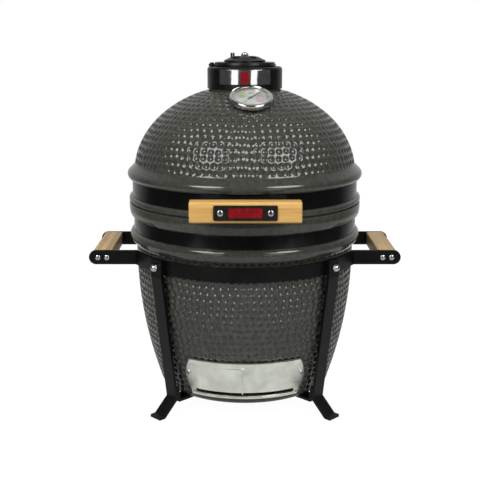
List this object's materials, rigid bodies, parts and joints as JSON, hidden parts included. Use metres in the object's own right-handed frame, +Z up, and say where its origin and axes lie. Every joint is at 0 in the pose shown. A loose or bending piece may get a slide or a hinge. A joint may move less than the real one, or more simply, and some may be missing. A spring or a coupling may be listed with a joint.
{
  "type": "mini kamado grill",
  "caption": "Small egg-shaped ceramic charcoal grill with a hinged dome lid, top vent, sliding draft door and a flat-bar stand with side handles.",
  "frame": {"origin": "on the floor, under the middle of the grill's vertical axis", "axes": "+Z up, -Y towards the front with the lid handle and draft vent, +X to the right seen from the front"},
  "size_m": [0.436, 0.4078, 0.4947],
  "materials": {
    "glaze": "glossy dimpled glaze",
    "refractory": "matt fired clay",
    "coal_iron": "rough casting",
    "grate_steel": "bright drawn rod",
    "felt": "dense felt",
    "band_black": "gloss black",
    "hinge_black": "satin black",
    "spring_steel": "oiled steel",
    "stainless": "bright brushed",
    "fastener_steel": "zinc plated",
    "frame_black": "satin black",
    "side_wood": "oiled bamboo",
    "handle_wood": "lacquered bamboo",
    "plate_black": "satin black",
    "red_enamel": "gloss enamel",
    "vent_iron": "black enamel on casting",
    "polished_steel": "polished",
    "dial_white": "printed dial",
    "needle_black": "matt",
    "lens_glass": "clear"
  },
  "bodies": {
    "base": {"base_shell": "glaze", "fire_box": "refractory", "charcoal_grate": "coal_iron", "fire_ring": "refractory", "cooking_grate": "grate_steel", "base_gasket": "felt", "base_band": "band_black", "base_hinge_bracket": "hinge_black", "base_rivets": "hinge_black", "hinge_pin": "spring_steel", "hinge_springs": "spring_steel", "draft_frame": "stainless", "draft_screws": "fastener_steel", "front_arc": "frame_black", "rear_arc": "frame_black", "cross_brace": "frame_black", "leg_front_left": "frame_black", "leg_front_right": "frame_black", "leg_rear_left": "frame_black", "leg_rear_right": "frame_black", "leg_bolts": "fastener_steel", "leg_dome_nuts": "fastener_steel", "arm_front_left": "frame_black", "arm_front_right": "frame_black", "arm_rear_left": "frame_black", "arm_rear_right": "frame_black", "side_handle_left": "side_wood", "side_handle_right": "side_wood", "side_handle_screws": "fastener_steel"},
    "lid": {"lid_shell": "glaze", "lid_gasket": "felt", "lid_band": "band_black", "lid_hinge_bracket": "hinge_black", "lid_rivets": "hinge_black", "handle_bracket": "hinge_black", "lid_handle": "handle_wood", "handle_plate": "plate_black", "handle_field": "red_enamel", "handle_screws": "fastener_steel", "vent_gasket": "felt", "vent_cap": "vent_iron", "vent_crest": "polished_steel", "crest_field": "red_enamel", "cover_pivot": "vent_iron", "therm_case": "polished_steel", "therm_dial": "dial_white", "therm_lens": "lens_glass", "therm_bezel": "polished_steel", "therm_nut": "fastener_steel"},
    "cover": {"swing_cover": "vent_iron", "wheel_bolt": "fastener_steel", "wheel_nut": "fastener_steel"},
    "wheel": {"daisy_wheel": "vent_iron"},
    "needle": {"therm_needle": "needle_black"},
    "door": {"draft_door": "stainless"}
  },
  "joints": [
    {"name": "lid_hinge", "type": "hinge", "parent": "base", "child": "lid", "pos_m": [0, 0.1928, 0.2894], "axis": [-1, 0, 0], "range_deg": [0, 80]},
    {"name": "cover_swing", "type": "hinge", "parent": "lid", "child": "cover", "pos_m": [-0.046, 0, 0.4782], "axis": [0, 0, 1], "range_deg": [0, 100]},
    {"name": "wheel_turn", "type": "hinge", "parent": "cover", "child": "wheel", "pos_m": [0, 0, 0.4853], "axis": [0, 0, 1], "range_deg": [0, 36]},
    {"name": "needle_turn", "type": "hinge", "parent": "lid", "child": "needle", "pos_m": [0.00781, -0.07962, 0.43302], "axis": [0.0407, -0.4149, 0.909], "range_deg": [-90, 180]},
    {"name": "door_slide", "type": "hinge", "parent": "base", "child": "door", "pos_m": [0, 0, 0.0605], "axis": [0, 0, 1], "range_deg": [0, 26]}
  ]
}
